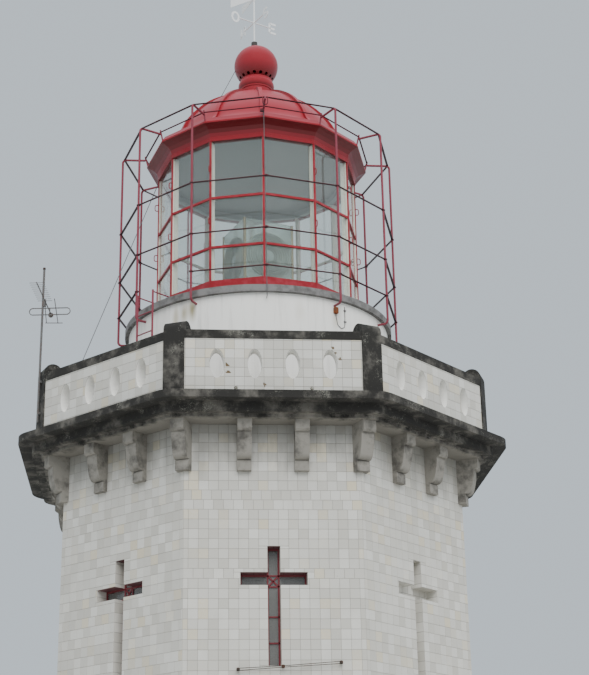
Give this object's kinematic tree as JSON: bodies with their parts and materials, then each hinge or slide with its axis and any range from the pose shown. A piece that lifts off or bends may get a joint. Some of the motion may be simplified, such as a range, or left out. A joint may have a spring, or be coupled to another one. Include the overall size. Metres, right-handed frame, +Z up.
{
  "type": "octagonal tiled lighthouse tower",
  "caption": "Octagonal tiled lighthouse with cross windows, bracketed gallery, round drum, caged glass lantern, red dome, ball ventilator, weathervane and turning lens",
  "frame": {"origin": "on the ground at the tower's axis, at the middle of the foot", "axes": "+Z up, -Y out of the front face, the one in the middle of the picture"},
  "size_m": [8.044, 8.044, 18.944],
  "materials": {
    "cage_paint": "faded dark red paint on steel bars",
    "bracket_stone": "rough cement brackets, grey with dark stains",
    "dark_concrete": "rough cement, blackened by weather and lichen",
    "frame_paint": "red-brown paint on steel",
    "window_glass": "dark window glass",
    "door_paint": "red-brown gloss paint",
    "white_render": "smooth limewashed render, slightly stained",
    "floor_concrete": "matt floated cement",
    "red_paint": "glossy dark red paint on cast iron",
    "rim_cement": "grey cement edge",
    "lantern_glass": "clear plate glass",
    "galvanised": "dull galvanised steel",
    "optic_brass": "dull brass",
    "lens_glass": "green-tinted pressed lens glass",
    "machine_paint": "grey-green paint on cast iron",
    "white_tile": "glossy off-white glazed wall tile with thin grey joints, weathered",
    "base_stone": "rough grey stone",
    "aerial_metal": "weathered aluminium",
    "vane_paint": "pale grey-white paint"
  },
  "bodies": {
    "tower": {"access_ladder": "cage_paint", "cage_legs": "cage_paint", "cage_poles": "cage_paint", "cage_rings": "cage_paint", "cage_stays": "cage_paint", "corner_brackets": "bracket_stone", "corner_posts": "dark_concrete", "cross_window_frames": "frame_paint", "cross_window_glass": "window_glass", "doors": "door_paint", "drum_back": "white_render", "drum_front": "white_render", "face_brackets": "bracket_stone", "gallery_slab": "dark_concrete", "ground_floor": "floor_concrete", "lantern_curb": "red_paint", "lantern_floor": "rim_cement", "lantern_glass": "lantern_glass", "lantern_mullions": "red_paint", "lantern_transoms": "red_paint", "lightning_wire": "galvanised", "optic_pedestal": "machine_paint", "parapet_coping": "dark_concrete", "parapet_panels": "white_tile", "plinth_stones": "base_stone", "roof_cornice": "red_paint", "roof_dome": "red_paint", "roof_ribs": "red_paint", "tv_aerial": "aerial_metal", "vane_mast": "vane_paint", "ventilator_ball": "red_paint", "ventilator_neck": "red_paint", "wall_back": "white_tile", "wall_back_left": "white_tile", "wall_back_right": "white_tile", "wall_front": "white_tile", "wall_front_left": "white_tile", "wall_front_right": "white_tile", "wall_left": "white_tile", "wall_right": "white_tile", "watch_room_floor": "floor_concrete"},
    "vane": {"vane_rotor": "vane_paint"},
    "optic": {"optic_table": "machine_paint", "optic_lens": "lens_glass", "optic_frame": "optic_brass"}
  },
  "joints": [
    {"name": "vane_spin", "type": "hinge", "parent": "tower", "child": "vane", "pos_m": [-0.03, 0, 18.9], "axis": [0, 0, 1], "continuous": true},
    {"name": "optic_spin", "type": "hinge", "parent": "tower", "child": "optic", "pos_m": [0, 0, 12.5], "axis": [0, 0, 1], "continuous": true}
  ]
}
